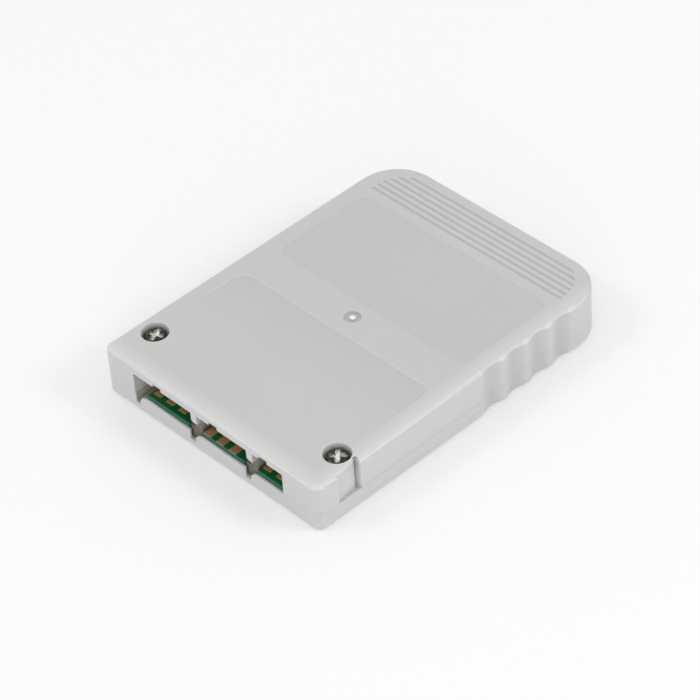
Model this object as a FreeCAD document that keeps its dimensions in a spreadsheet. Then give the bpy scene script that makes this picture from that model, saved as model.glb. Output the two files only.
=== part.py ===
"""Console memory card: a screwed two-part shell around a small circuit board with eight edge contacts.

Millimetres. X runs across the card, +Y to the grip end, -Y to the connector end, +Z up through the
side that carries the screws. The origin is on the table, under the middle of the card.
"""
import FreeCAD, Part
import Sketcher
import math
import os

# Driving dimensions: name, value, meaning
DIMENSIONS = [
    ("case_width", 42.0, "shell across the card, as wide as the console's slot"),
    ("case_length", 56.0, "shell from the connector end to the grip end"),
    ("case_height", 7.8, "shell thickness"),
    ("split_height", 2.8, "joint between the two shells, above the table"),
    ("front_radius", 1.3, "plan radius of the corners at the connector end"),
    ("rear_radius", 6.8, "plan radius of the corners at the grip end"),
    ("top_edge_chamfer", 0.45, "chamfer of the upper rim"),
    ("base_edge_chamfer", 0.4, "chamfer of the lower rim"),
    ("wall", 1.4, "side wall of both shells"),
    ("roof", 1.4, "thickness of the screw side"),
    ("floor", 1.2, "thickness of the label side"),
    ("flute_pitch", 4.5, "distance between the finger scallops in the long sides"),
    ("flute_depth", 0.5, "how deep each scallop goes"),
    ("flute_radius", 3.6, "radius of a scallop's hollow"),
    ("flute_rear_gap", 1.05, "straight side between the scallops and the round corner"),
    ("inside_corner", 0.5, "inside radius of the corners at the connector end"),
    ("joint_overlap", 0.2, "how far an added wall or post runs into what carries it"),
    ("notch_front", 3.7, "front end of the latch notch, from the connector end"),
    ("notch_deep", 7.3, "deepest line of the latch notch, from the connector end"),
    ("notch_rear", 7.8, "rear end of the latch notch, from the connector end"),
    ("notch_step", 0.3, "depth of the latch notch at its front end"),
    ("notch_depth", 0.75, "depth of the latch notch at its deepest line"),
    ("window_left", 15.05, "left side of the connector window, from the middle of the card"),
    ("window_right", 14.3, "right side of the connector window, from the middle of the card"),
    ("window_top", 6.3, "lower edge of the upper lip, above the table"),
    ("lip_notch_width", 1.7, "width of each notch in the upper lip"),
    ("lip_notch_height", 0.5, "height of each notch in the upper lip"),
    ("lip_notch_one", -10.2, "middle of the first lip notch"),
    ("lip_notch_two", 0.95, "middle of the second lip notch"),
    ("lip_notch_three", 10.6, "middle of the third lip notch"),
    ("rib_one", -2.88, "middle of the rib between the first and second window"),
    ("rib_two", 7.98, "middle of the rib between the second and third window"),
    ("rib_width", 1.2, "thickness of a rib"),
    ("rib_reach", 5.2, "how far a rib runs back from the connector end"),
    ("rib_setback", 0.75, "how far a rib's foot stands back under its tooth"),
    ("rib_foot_gap", 0.1, "gap between a rib's foot and the floor"),
    ("tooth_bottom", 4.8, "lower end of the tooth on a rib, above the table"),
    ("tooth_slant", 0.1, "slant of a tooth's left side"),
    ("tooth_cut_width", 0.3, "width of the corner cut at a tooth's foot"),
    ("tooth_cut_height", 0.15, "height of that corner cut"),
    ("sill_depth", 0.35, "thickness of a sill"),
    ("sill_round", 1.2, "rounding of a sill's left shoulder"),
    ("sill_left_gap", 0.95, "gap between the window's left side and the first sill"),
    ("sill_rib_gap", 1.15, "gap between two sills, under a rib"),
    ("sill_gap_shift", 0.6, "middle of that gap to the left of the rib's middle"),
    ("bay_wall", 1.0, "thickness of the side walls of the connector bay"),
    ("bay_reach", 8.6, "how far the bay walls run back from the connector end"),
    ("bay_step", 0.25, "how far the lower bay walls stand back beside the window"),
    ("screw_side", 3.15, "screws from the long sides"),
    ("screw_front", 6.7, "screws from the connector end"),
    ("head_width", 3.5, "diameter of the screw head"),
    ("head_height", 1.3, "height of the screw head"),
    ("head_slope_height", 0.4, "height of the slope round the top of the head"),
    ("head_slope_width", 0.6, "width of that slope"),
    ("head_gap", 0.2, "play around the head in its round recess"),
    ("recess_depth", 1.4, "depth of the round recess for a screw head"),
    ("boss_wall", 0.75, "wall of the upper boss around that recess"),
    ("pilot_hole", 1.7, "hole that the screw's thread bites into"),
    ("pilot_floor", 0.6, "closed end of that hole, above the table"),
    ("lower_boss_wall", 1.35, "wall of the lower boss around the pilot hole"),
    ("shank_play", 0.25, "play around the shank in the upper shell"),
    ("thread_gap", 0.01, "shank to its pilot hole"),
    ("shank_length", 5.6, "length of the shank under the head"),
    ("tip_length", 0.7, "length of the pointed end"),
    ("cross_length", 2.1, "length of each arm pair of the cross recess"),
    ("cross_width", 0.5, "width of each arm of the cross recess"),
    ("cross_depth", 0.8, "depth of the cross recess"),
    ("panel_side_margin", 2.6, "plain rim beside the shallow panels on the screw side"),
    ("rear_panel_front", 1.3, "front edge of the rear panel, from the middle of the card"),
    ("rear_panel_margin", 1.6, "rear panel to the middle of the foremost grip groove"),
    ("rear_panel_depth", 0.12, "depth of the rear panel"),
    ("panel_radius", 1.8, "corner radius of the panels"),
    ("panel_taper", 50.0, "slant of the rear panel's border, in degrees"),
    ("wedge_rear", 4.35, "crisp rear edge of the front panel, from the middle of the card"),
    ("wedge_run", 12.5, "length over which the front panel fades out"),
    ("wedge_depth", 0.15, "depth of the front panel at its crisp edge"),
    ("groove_first", 7.4, "foremost grip groove, from the grip end"),
    ("groove_pitch", 1.06, "distance between grip grooves"),
    ("groove_width", 0.6, "width of a grip groove"),
    ("groove_depth", 0.2, "depth of a grip groove"),
    ("groove_taper", 45.0, "slant of a grip groove's sides, in degrees"),
    ("groove_side_margin", 2.6, "plain rim beside the grip grooves"),
    ("groove_rear_margin", 1.7, "plain rim behind the grip grooves"),
    ("dimple_y", 1.15, "moulding gate dimple, from the middle towards the connector end"),
    ("dimple_width", 2.5, "diameter of the gate dimple"),
    ("dimple_depth", 0.4, "depth of the gate dimple"),
    ("gate_width", 0.9, "diameter of the gate stub in the dimple"),
    ("gate_height", 0.35, "height of the gate stub"),
    ("label_side_margin", 4.0, "plain rim beside the label recess underneath"),
    ("label_front", 16.0, "front edge of the label recess, from the connector end"),
    ("label_rear", 8.0, "rear edge of the label recess, from the grip end"),
    ("label_depth", 0.2, "depth of the label recess"),
    ("board_thickness", 1.2, "circuit board"),
    ("board_top", 3.5, "upper face of the board, above the table"),
    ("board_side_gap", 0.25, "board to the locating rails"),
    ("board_rear_gap", 1.6, "board to rear wall"),
    ("board_nose_gap", 0.05, "board nose to the sills"),
    ("board_shoulder", 11.4, "where the board widens behind the screws, from the connector end"),
    ("board_corner", 4.6, "corner cut at the rear of the board"),
    ("nose_left_margin", 0.4, "board beside the first contact"),
    ("nose_right_margin", 0.98, "board beside the last contact"),
    ("slot_left_gap", 1.0, "board slot to a rib's left side"),
    ("slot_right_gap", 0.5, "board slot to a rib's right side"),
    ("slot_clearance", 0.4, "board slot past the rib's end"),
    ("contact_pitch", 2.45, "distance between contacts in one window"),
    ("contact_width", 1.35, "width of a contact"),
    ("contact_length", 4.6, "length of a short contact"),
    ("contact_foil", 0.06, "thickness of a contact"),
    ("contact_setback", 0.75, "short contacts back from the board's front edge"),
    ("contact_group_one", -9.27, "middle of the first three contacts"),
    ("contact_group_two", 1.57, "middle of the second three contacts"),
    ("contact_group_three", 11.12, "middle of the last two contacts"),
    ("support_side", 5.4, "board rests and pins from the long sides"),
    ("post_rear", 10.4, "board pins from the grip end"),
    ("rest_gap", 2.4, "front board rests behind the board's shoulders"),
    ("rest_width", 3.0, "diameter of the board rests"),
    ("pin_width", 1.3, "diameter of the board pins"),
    ("pin_height", 1.0, "board pins above the board"),
    ("pin_clearance", 0.1, "play around a board pin"),
    ("rail_thickness", 0.6, "locating rails inside the side walls"),
    ("rail_height", 0.8, "locating rails above the joint"),
    ("rail_gap", 0.1, "rail to the wall of the upper shell"),
    ("rail_front", 17.0, "front end of the rails, from the connector end"),
    ("rail_rear", 14.0, "rear end of the rails, from the grip end"),
    ("chip_standoff", 0.1, "gap under a chip's moulded body"),
    ("lead_thickness", 0.15, "sheet of the chips' leads"),
    ("pin_mark_width", 1.0, "diameter of the mark at a chip's first pin"),
    ("pin_mark_depth", 0.1, "depth of that mark"),
    ("controller_span", 10.3, "controller across its leads"),
    ("controller_width", 7.5, "controller body across"),
    ("controller_length", 17.9, "controller body along its rows of leads"),
    ("controller_height", 2.2, "controller body"),
    ("controller_pitch", 1.27, "distance between the controller's leads"),
    ("controller_lead", 0.4, "width of a controller lead"),
    ("controller_y", 8.0, "controller from the middle, towards the connector end"),
    ("memory_span", 20.0, "memory chip across its leads"),
    ("memory_width", 18.4, "memory chip body across"),
    ("memory_length", 8.0, "memory chip body along its rows of leads"),
    ("memory_height", 1.0, "memory chip body"),
    ("memory_pitch", 0.5, "distance between the memory chip's leads"),
    ("memory_lead", 0.22, "width of a memory chip lead"),
    ("memory_y", 9.5, "memory chip from the middle, towards the grip end"),
    ("passive_length", 2.0, "capacitors and resistors along their ends"),
    ("passive_width", 1.25, "capacitors and resistors across"),
    ("passive_end", 0.35, "soldered end of a capacitor or resistor"),
    ("passive_relief", 0.05, "how far the middle stays inside the ends"),
    ("passive_pitch", 3.2, "distance between the capacitors and resistors in their row"),
    ("capacitor_height", 0.95, "capacitor"),
    ("resistor_height", 0.55, "resistor"),
    ("resonator_length", 7.0, "resonator along the card"),
    ("resonator_width", 3.2, "resonator across"),
    ("resonator_height", 1.8, "resonator"),
    ("resonator_gap", 3.35, "resonator to the controller's end"),
    ("small_chip_length", 2.9, "reset chip and diode bodies along the card"),
    ("small_chip_width", 1.4, "reset chip and diode bodies across"),
    ("small_chip_height", 1.0, "reset chip and diode bodies"),
    ("small_chip_span", 2.5, "reset chip across its leads"),
    ("small_lead", 0.4, "width of a lead of the reset chip or diode"),
    ("small_lead_offset", 0.95, "the reset chip's paired leads from its middle"),
    ("diode_span", 3.7, "diode along its leads"),
    ("reset_y", 9.5, "reset chip from the middle, towards the connector end"),
    ("diode_y", 4.0, "diode from the middle, towards the connector end"),
]

sizes = {name: value for name, value, meaning in DIMENSIONS}


class Size:
    """A length together with the expression that the document keeps for it."""

    def __init__(self, value, text):
        self.value = value
        self.text = text

    def __add__(self, other):
        other = as_size(other)
        return Size(self.value + other.value, "(%s + %s)" % (self.text, other.text))

    def __radd__(self, other):
        return as_size(other) + self

    def __sub__(self, other):
        other = as_size(other)
        return Size(self.value - other.value, "(%s - %s)" % (self.text, other.text))

    def __rsub__(self, other):
        return as_size(other) - self

    def __mul__(self, other):
        other = as_size(other)
        return Size(self.value * other.value, "(%s * %s)" % (self.text, other.text))

    def __rmul__(self, other):
        return as_size(other) * self

    def __truediv__(self, other):
        other = as_size(other)
        return Size(self.value / other.value, "(%s / %s)" % (self.text, other.text))

    def __neg__(self):
        return Size(-self.value, "(0 - %s)" % self.text)

    def root(self):
        return Size(math.sqrt(self.value), "sqrt(%s)" % self.text)

    def at_least_zero(self):
        return Size(max(0.0, self.value), "max(0; %s)" % self.text)

    def slope_angle(self):
        """The angle of a slope that rises by this much over a run of one, in degrees."""
        return Size(math.degrees(math.atan(self.value)), "atan(%s)" % self.text)


def as_size(value):
    """A plain number becomes a Size, a Size stays as it is."""
    if isinstance(value, Size):
        return value
    return Size(float(value), repr(float(value)))


def size(name):
    """One driving dimension."""
    return Size(sizes[name], "Sizes." + name)


doc = FreeCAD.newDocument("MemoryCard")
sheet = doc.addObject("Spreadsheet::Sheet", "Sizes")
for row, (name, value, meaning) in enumerate(DIMENSIONS, start=1):
    sheet.set("A%d" % row, name)
    sheet.set("B%d" % row, str(value))
    sheet.setAlias("B%d" % row, name)
    sheet.set("C%d" % row, meaning)
doc.recompute()

# Counts
FLUTES = 4
GROOVES = 6
CONTROLLER_LEADS = 14
MEMORY_LEADS = 16
PASSIVES = 8
CONTACT_GROUPS = [("contact_group_one", 3, False), ("contact_group_two", 3, True),
                  ("contact_group_three", 2, False)]


def both_sides(x, y):
    """The same place on the left and on the right."""
    return [(-x, y), (x, y)]


def contact_middle(group, count, place):
    """The middle of one contact of a group."""
    return size(group) + (place - (count - 1) / 2) * size("contact_pitch")


# Places that several pieces share
HALF_WIDTH = size("case_width") / 2
HALF_LENGTH = size("case_length") / 2
FRONT = -HALF_LENGTH
REAR = HALF_LENGTH
ROOF_UNDERSIDE = size("case_height") - size("roof")
CLEAR = as_size(1.0)  # how far a cut runs past the surface that it opens
RIBS = [size("rib_one"), size("rib_two")]
FLUTE_END = REAR - size("rear_radius") - size("flute_rear_gap")
FLUTE_START = FLUTE_END - FLUTES * size("flute_pitch")
FIRST_GROOVE = REAR - size("groove_first")
SCREW_PLACES = both_sides(HALF_WIDTH - size("screw_side"), FRONT + size("screw_front"))
HEAD_SEAT = size("case_height") - size("recess_depth")
RECESS_WIDTH = size("head_width") + 2 * size("head_gap")
BOARD_UNDERSIDE = size("board_top") - size("board_thickness")
BOARD_FRONT = FRONT + size("sill_depth") + size("board_nose_gap")
BOARD_SHOULDER = FRONT + size("board_shoulder")
SUPPORT_X = HALF_WIDTH - size("support_side")
POST_PLACES = both_sides(SUPPORT_X, REAR - size("post_rear"))
REST_PLACES = both_sides(SUPPORT_X, BOARD_SHOULDER + size("rest_gap"))
RAIL_OUTSIDE = HALF_WIDTH - size("wall") - size("rail_gap")
RAIL_INSIDE = RAIL_OUTSIDE - size("rail_thickness")
SIDE_PARTS_X = size("controller_length") / 2 + size("resonator_gap") + size("resonator_width") / 2

parts = []


def new_body(label):
    """A body whose label names its file."""
    body = doc.addObject("PartDesign::Body", label)
    body.Label = label
    parts.append(body)
    return body


def bind(item, prop, value):
    """Set a property to a size and keep it tied to the sheet."""
    value = as_size(value)
    item.setExpression(prop, value.text)


def new_sketch(body, name, plane, height=None):
    """A sketch on one of the body's origin planes, moved along the plane's normal."""
    sketch = body.newObject("Sketcher::SketchObject", name)
    origin_plane = next(item for item in body.Origin.OriginFeatures if item.Role == plane)
    sketch.AttachmentSupport = [(origin_plane, "")]
    sketch.MapMode = "FlatFace"
    if height is not None:
        sketch.AttachmentOffset = FreeCAD.Placement(
            FreeCAD.Vector(0, 0, height.value), FreeCAD.Rotation())
        bind(sketch, "AttachmentOffset.Base.z", height)
    return sketch


def hold(sketch, kind, places, value, name):
    """A dimension of the sketch, tied to the sheet."""
    index = sketch.addConstraint(Sketcher.Constraint(kind, *places, value.value))
    sketch.renameConstraint(index, name)
    sketch.setExpression("Constraints." + name, value.text)


def arc_through(start, end, radius, turn):
    """The arc from start to end: turn is +1 where the path turns left, -1 where it turns right."""
    chord_x = end[0].value - start[0].value
    chord_y = end[1].value - start[1].value
    chord = math.hypot(chord_x, chord_y)
    rise = math.sqrt(max(0.0, radius.value ** 2 - chord ** 2 / 4))
    centre = FreeCAD.Vector(
        (start[0].value + end[0].value) / 2 - turn * chord_y / chord * rise,
        (start[1].value + end[1].value) / 2 + turn * chord_x / chord * rise, 0)
    angles = [math.atan2(point[1].value - centre.y, point[0].value - centre.x) for point in (start, end)]
    if turn < 0:
        angles.reverse()
    circle = Part.Circle(centre, FreeCAD.Vector(0, 0, 1), radius.value)
    return Part.ArcOfCircle(circle, angles[0], angles[1])


def draw_path(sketch, start, steps):
    """A closed outline. A step is an end point alone for a line, or an end point, a radius and a turn."""
    first = sketch.GeometryCount
    here = start
    ends = []
    for step in steps:
        there = step[0]
        if len(step) == 1:
            line = Part.LineSegment(FreeCAD.Vector(here[0].value, here[1].value, 0),
                                    FreeCAD.Vector(there[0].value, there[1].value, 0))
            item = sketch.addGeometry(line)
            ends.append((item, 1, 2))
        else:
            item = sketch.addGeometry(arc_through(here, there, step[1], step[2]))
            ends.append((item, 1, 2) if step[2] > 0 else (item, 2, 1))
            hold(sketch, "Radius", (item,), step[1], "radius_%d" % item)
        here = there
    corners = [start] + [step[0] for step in steps[:-1]]
    for number, corner in enumerate(corners):
        item, begin, finish = ends[number]
        before, before_begin, before_finish = ends[number - 1]
        sketch.addConstraint(Sketcher.Constraint("Coincident", before, before_finish, item, begin))
        tag = "%d_%d" % (first, number)
        hold(sketch, "DistanceX", (item, begin), corner[0], "x_" + tag)
        hold(sketch, "DistanceY", (item, begin), corner[1], "y_" + tag)


def draw_polygon(sketch, corners):
    draw_path(sketch, corners[0], [(corner,) for corner in corners[1:]] + [(corners[0],)])


def draw_box(sketch, left, right, front, rear):
    draw_polygon(sketch, [(left, front), (right, front), (right, rear), (left, rear)])


def draw_circle(sketch, x, y, diameter):
    circle = Part.Circle(FreeCAD.Vector(x.value, y.value, 0), FreeCAD.Vector(0, 0, 1), diameter.value / 2)
    item = sketch.addGeometry(circle)
    hold(sketch, "DistanceX", (item, 3), x, "x_%d" % item)
    hold(sketch, "DistanceY", (item, 3), y, "y_%d" % item)
    hold(sketch, "Radius", (item,), diameter / 2, "radius_%d" % item)


def draw_rounded_box(sketch, left, right, front, rear, front_radius, rear_radius):
    """A rectangle with one radius at its front corners and another at its rear corners."""
    draw_path(sketch, (left + front_radius, front), [
        ((right - front_radius, front),),
        ((right, front + front_radius), front_radius, 1),
        ((right, rear - rear_radius),),
        ((right - rear_radius, rear), rear_radius, 1),
        ((left + rear_radius, rear),),
        ((left, rear - rear_radius), rear_radius, 1),
        ((left, front + front_radius),),
        ((left + front_radius, front), front_radius, 1),
    ])


def flute_steps(side):
    """The scalloped stretch of one long side: side is +1 going back on the right, -1 coming forward."""
    half_pitch = size("flute_pitch") / 2
    depth = size("flute_depth")
    both_radii = (half_pitch * half_pitch + depth * depth) / (2 * depth)
    hollow = size("flute_radius")
    land = both_radii - hollow
    join_along = half_pitch * land / both_radii
    join_in = depth * land / both_radii
    edge = HALF_WIDTH * side
    joints = []
    for number in range(FLUTES):
        crest = FLUTE_START + number * size("flute_pitch")
        next_crest = crest + size("flute_pitch")
        joints.append((crest + join_along, join_in, land, 1))
        joints.append((next_crest - join_along, join_in, hollow, -1))
        joints.append((next_crest, as_size(0), land, 1))
    if side < 0:
        joints = [(FLUTE_START + FLUTE_END - along, inward, radius, turn)
                  for along, inward, radius, turn in joints]
    return [((edge - side * inward, along), radius, turn) for along, inward, radius, turn in joints]


def draw_case_outline(sketch):
    """The outside of both shells, seen from above."""
    front = size("front_radius")
    rear = size("rear_radius")
    steps = [
        ((HALF_WIDTH - front, FRONT),),
        ((HALF_WIDTH, FRONT + front), front, 1),
        ((HALF_WIDTH, FLUTE_START),),
    ]
    steps += flute_steps(1)
    steps += [
        ((HALF_WIDTH, REAR - rear),),
        ((HALF_WIDTH - rear, REAR), rear, 1),
        ((rear - HALF_WIDTH, REAR),),
        ((-HALF_WIDTH, REAR - rear), rear, 1),
        ((-HALF_WIDTH, FLUTE_END),),
    ]
    steps += flute_steps(-1)
    steps += [
        ((-HALF_WIDTH, FRONT + front),),
        ((front - HALF_WIDTH, FRONT), front, 1),
    ]
    draw_path(sketch, (front - HALF_WIDTH, FRONT), steps)


def draw_case_inside(sketch):
    """The hollow of both shells, one wall inside the outline."""
    wall = size("wall")
    draw_rounded_box(sketch, wall - HALF_WIDTH, HALF_WIDTH - wall, FRONT + wall, REAR - wall,
                     size("inside_corner"), size("rear_radius") - wall)


def pad(body, sketch, length, reverse=False):
    feature = body.newObject("PartDesign::Pad", sketch.Name + "_pad")
    feature.Profile = sketch
    feature.Reversed = reverse
    bind(feature, "Length", length)
    return feature


def pocket(body, sketch, length, reverse=False, taper=None):
    feature = body.newObject("PartDesign::Pocket", sketch.Name + "_pocket")
    feature.Profile = sketch
    feature.Reversed = reverse
    bind(feature, "Length", length)
    if taper is not None:
        bind(feature, "TaperAngle", taper)
    return feature


def rim_edges(feature, height):
    """Names of the edges that lie wholly at one height."""
    names = []
    for number, edge in enumerate(feature.Shape.Edges, start=1):
        if abs(edge.BoundBox.ZMin - height) < 1e-4 and abs(edge.BoundBox.ZMax - height) < 1e-4:
            names.append("Edge%d" % number)
    return names


def chamfer_rim(body, feature, height, width):
    """Chamfer the outer rim at one height."""
    doc.recompute()
    chamfer = body.newObject("PartDesign::Chamfer", feature.Name + "_chamfer")
    chamfer.Base = (feature, rim_edges(feature, height.value))
    bind(chamfer, "Size", width)


# Upper shell: the screw side

def upper_hollow(body):
    outline = new_sketch(body, "upper_outline", "XY_Plane", size("split_height"))
    draw_case_outline(outline)
    block = pad(body, outline, size("case_height") - size("split_height"))
    chamfer_rim(body, block, size("case_height"), size("top_edge_chamfer"))
    inside = new_sketch(body, "upper_inside", "XY_Plane", size("split_height"))
    draw_case_inside(inside)
    pocket(body, inside, ROOF_UNDERSIDE - size("split_height"), reverse=True)


def upper_window(body):
    """The wide connector window with three small notches in its upper lip."""
    window = new_sketch(body, "window", "XZ_Plane", HALF_LENGTH)
    draw_box(window, -size("window_left"), size("window_right"), size("split_height") - CLEAR,
             size("window_top"))
    pocket(body, window, size("wall"))
    notches = new_sketch(body, "lip_notches", "XZ_Plane", HALF_LENGTH)
    half = size("lip_notch_width") / 2
    for name in ("lip_notch_one", "lip_notch_two", "lip_notch_three"):
        draw_box(notches, size(name) - half, size(name) + half, size("window_top") - CLEAR,
                 size("window_top") + size("lip_notch_height"))
    pocket(body, notches, size("wall"))


def upper_ribs(body):
    """Two ribs that split the window in three, each with a tooth at its upper front corner."""
    half = size("rib_width") / 2
    foot = size("floor") + size("rib_foot_gap")
    ribs = new_sketch(body, "ribs", "XY_Plane", foot)
    for middle in RIBS:
        draw_box(ribs, middle - half, middle + half, FRONT + size("rib_setback"), FRONT + size("rib_reach"))
    pad(body, ribs, ROOF_UNDERSIDE - foot)
    teeth = new_sketch(body, "teeth", "XZ_Plane", HALF_LENGTH)
    top = size("window_top") + size("lip_notch_height")
    bottom = size("tooth_bottom")
    for middle in RIBS:
        left = middle - half
        draw_polygon(teeth, [
            (left, top),
            (left + size("tooth_slant"), bottom + size("tooth_cut_height")),
            (left + size("tooth_slant") + size("tooth_cut_width"), bottom),
            (middle + half, bottom),
            (middle + half, top),
        ])
    pad(body, teeth, size("rib_setback"), reverse=True)


def upper_inner_walls(body):
    """Side walls of the connector bay, screw bosses and the posts that hold the board down."""
    bay = new_sketch(body, "bay_walls", "XY_Plane", size("split_height"))
    rear = FRONT + size("bay_reach")
    front = FRONT + size("wall") - size("joint_overlap")
    draw_box(bay, -size("window_left") - size("bay_wall"), -size("window_left"), front, rear)
    draw_box(bay, size("window_right"), size("window_right") + size("bay_wall"), front, rear)
    pad(body, bay, ROOF_UNDERSIDE - size("split_height"))
    bosses = new_sketch(body, "upper_bosses", "XY_Plane", size("split_height"))
    for x, y in SCREW_PLACES:
        draw_circle(bosses, x, y, RECESS_WIDTH + 2 * size("boss_wall"))
    pad(body, bosses, ROOF_UNDERSIDE - size("split_height") + size("joint_overlap"))
    posts = new_sketch(body, "hold_down_posts", "XY_Plane", size("board_top"))
    for x, y in POST_PLACES:
        draw_circle(posts, x, y, size("rest_width"))
    pad(body, posts, ROOF_UNDERSIDE - size("board_top") + size("joint_overlap"))
    wells = new_sketch(body, "post_wells", "XY_Plane", size("board_top"))
    for x, y in POST_PLACES:
        draw_circle(wells, x, y, size("pin_width") + 2 * size("pin_clearance"))
    pocket(body, wells, size("pin_height") + size("pin_clearance"), reverse=True)


def upper_screw_holes(body):
    recesses = new_sketch(body, "head_recesses", "XY_Plane", size("case_height"))
    holes = new_sketch(body, "shank_holes", "XY_Plane", size("case_height"))
    for x, y in SCREW_PLACES:
        draw_circle(recesses, x, y, RECESS_WIDTH)
        draw_circle(holes, x, y, size("pilot_hole") + 2 * size("shank_play"))
    pocket(body, recesses, size("recess_depth"))
    pocket(body, holes, size("case_height"))


def upper_panels(body):
    """Two shallow panels: an even one at the rear and a wedge that fades out towards the connector."""
    half = HALF_WIDTH - size("panel_side_margin")
    radius = size("panel_radius")
    rear = new_sketch(body, "rear_panel", "XY_Plane", size("case_height"))
    draw_rounded_box(rear, -half, half, size("rear_panel_front"), FIRST_GROOVE - size("rear_panel_margin"),
                     radius, radius)
    pocket(body, rear, size("rear_panel_depth"), taper=-size("panel_taper"))
    wedge = new_sketch(body, "front_panel", "XY_Plane")
    start = -size("wedge_rear") - size("wedge_run")
    tilt = (size("wedge_depth") / size("wedge_run")).slope_angle()
    wedge.AttachmentOffset = FreeCAD.Placement(
        FreeCAD.Vector(0, start.value, sizes["case_height"]),
        FreeCAD.Rotation(FreeCAD.Vector(-1, 0, 0), tilt.value))
    bind(wedge, "AttachmentOffset.Base.y", start)
    bind(wedge, "AttachmentOffset.Base.z", size("case_height"))
    bind(wedge, "AttachmentOffset.Rotation.Angle", tilt)
    draw_rounded_box(wedge, -half, half, as_size(0), size("wedge_run"), radius, radius)
    pocket(body, wedge, CLEAR, reverse=True)


def upper_grip(body):
    """Grip grooves whose ends follow the round corners, and the gate dimple."""
    grooves = new_sketch(body, "grip_grooves", "XY_Plane", size("case_height"))
    reach_x = size("rear_radius") - size("groove_side_margin")
    reach_y = size("rear_radius") - size("groove_rear_margin")
    centre_x = HALF_WIDTH - size("rear_radius")
    centre_y = REAR - size("rear_radius")
    half = size("groove_width") / 2
    for number in range(GROOVES):
        middle = FIRST_GROOVE + number * size("groove_pitch")
        ends = []
        for y in (middle - half, middle + half):
            above = (y - centre_y).at_least_zero() / reach_y
            ends.append(centre_x + reach_x * (1 - above * above).root())
        draw_polygon(grooves, [(-ends[0], middle - half), (ends[0], middle - half),
                               (ends[1], middle + half), (-ends[1], middle + half)])
    pocket(body, grooves, size("groove_depth"), taper=-size("groove_taper"))
    dimple = new_sketch(body, "gate_dimple", "XY_Plane", size("case_height"))
    draw_circle(dimple, as_size(0), -size("dimple_y"), size("dimple_width"))
    pocket(body, dimple, size("dimple_depth"))
    stub = new_sketch(body, "gate_stub", "XY_Plane", size("case_height") - size("dimple_depth"))
    draw_circle(stub, as_size(0), -size("dimple_y"), size("gate_width"))
    pad(body, stub, size("gate_height"))


def upper_latch_notches(body):
    """A ramped notch in each long side, where the console's spring holds the card."""
    notches = new_sketch(body, "latch_notches", "XY_Plane", size("split_height"))
    for side in (-1, 1):
        edge = HALF_WIDTH * side
        draw_polygon(notches, [
            (edge + side * CLEAR, FRONT + size("notch_front")),
            (edge - side * size("notch_step"), FRONT + size("notch_front")),
            (edge - side * size("notch_depth"), FRONT + size("notch_deep")),
            (edge, FRONT + size("notch_rear")),
            (edge + side * CLEAR, FRONT + size("notch_rear")),
        ])
    pocket(body, notches, size("case_height") - size("split_height") + CLEAR, reverse=True)


def make_upper_shell():
    body = new_body("upper_shell")
    upper_hollow(body)
    upper_window(body)
    upper_ribs(body)
    upper_inner_walls(body)
    upper_screw_holes(body)
    upper_panels(body)
    upper_grip(body)
    upper_latch_notches(body)


# Lower shell: the label side

def lower_tray(body):
    outline = new_sketch(body, "lower_outline", "XY_Plane")
    draw_case_outline(outline)
    block = pad(body, outline, size("split_height"))
    chamfer_rim(body, block, as_size(0), size("base_edge_chamfer"))
    inside = new_sketch(body, "lower_inside", "XY_Plane", size("split_height"))
    draw_case_inside(inside)
    pocket(body, inside, size("split_height") - size("floor"))
    label = new_sketch(body, "label_recess", "XY_Plane")
    half = HALF_WIDTH - size("label_side_margin")
    draw_rounded_box(label, -half, half, FRONT + size("label_front"), REAR - size("label_rear"),
                     size("panel_radius"), size("panel_radius"))
    pocket(body, label, size("label_depth"), reverse=True)


def lower_sills(body):
    """The window cut down to the floor, then three sills that stand in it with gaps between them."""
    gap = new_sketch(body, "sill_gap", "XZ_Plane", HALF_LENGTH)
    draw_box(gap, -size("window_left"), size("window_right"), size("floor"), size("split_height") + CLEAR)
    pocket(body, gap, size("wall"))
    sills = new_sketch(body, "sills", "XZ_Plane", HALF_LENGTH)
    half_gap = size("sill_rib_gap") / 2
    gaps = [middle - size("sill_gap_shift") for middle in RIBS]
    spans = [(size("sill_left_gap") - size("window_left"), gaps[0] - half_gap),
             (gaps[0] + half_gap, gaps[1] - half_gap),
             (gaps[1] + half_gap, size("window_right"))]
    top = size("split_height")
    root = size("floor") - size("joint_overlap")
    shoulder = size("sill_round")
    for left, right in spans:
        draw_path(sills, (left, root), [
            ((right, root),),
            ((right, top),),
            ((left + shoulder, top),),
            ((left, top - shoulder), shoulder, 1),
            ((left, root),),
        ])
    pad(body, sills, size("sill_depth"), reverse=True)


def lower_bay(body):
    """Side walls of the connector bay under those of the upper shell, a step wider than the window."""
    step = size("bay_step")
    left = -size("window_left") - step
    right = size("window_right") + step
    root = size("floor") - size("joint_overlap")
    walls = new_sketch(body, "lower_bay_walls", "XY_Plane", root)
    front = FRONT + size("wall") - size("joint_overlap")
    rear = FRONT + size("bay_reach")
    draw_box(walls, left - size("bay_wall"), left, front, rear)
    draw_box(walls, right, right + size("bay_wall"), front, rear)
    pad(body, walls, size("split_height") - root)
    steps = new_sketch(body, "bay_steps", "XY_Plane", size("split_height"))
    draw_box(steps, left, left + step, FRONT + size("sill_depth"), FRONT + size("wall"))
    draw_box(steps, right - step, right, FRONT + size("sill_depth"), FRONT + size("wall"))
    pocket(body, steps, size("split_height") - size("floor"))


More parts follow.
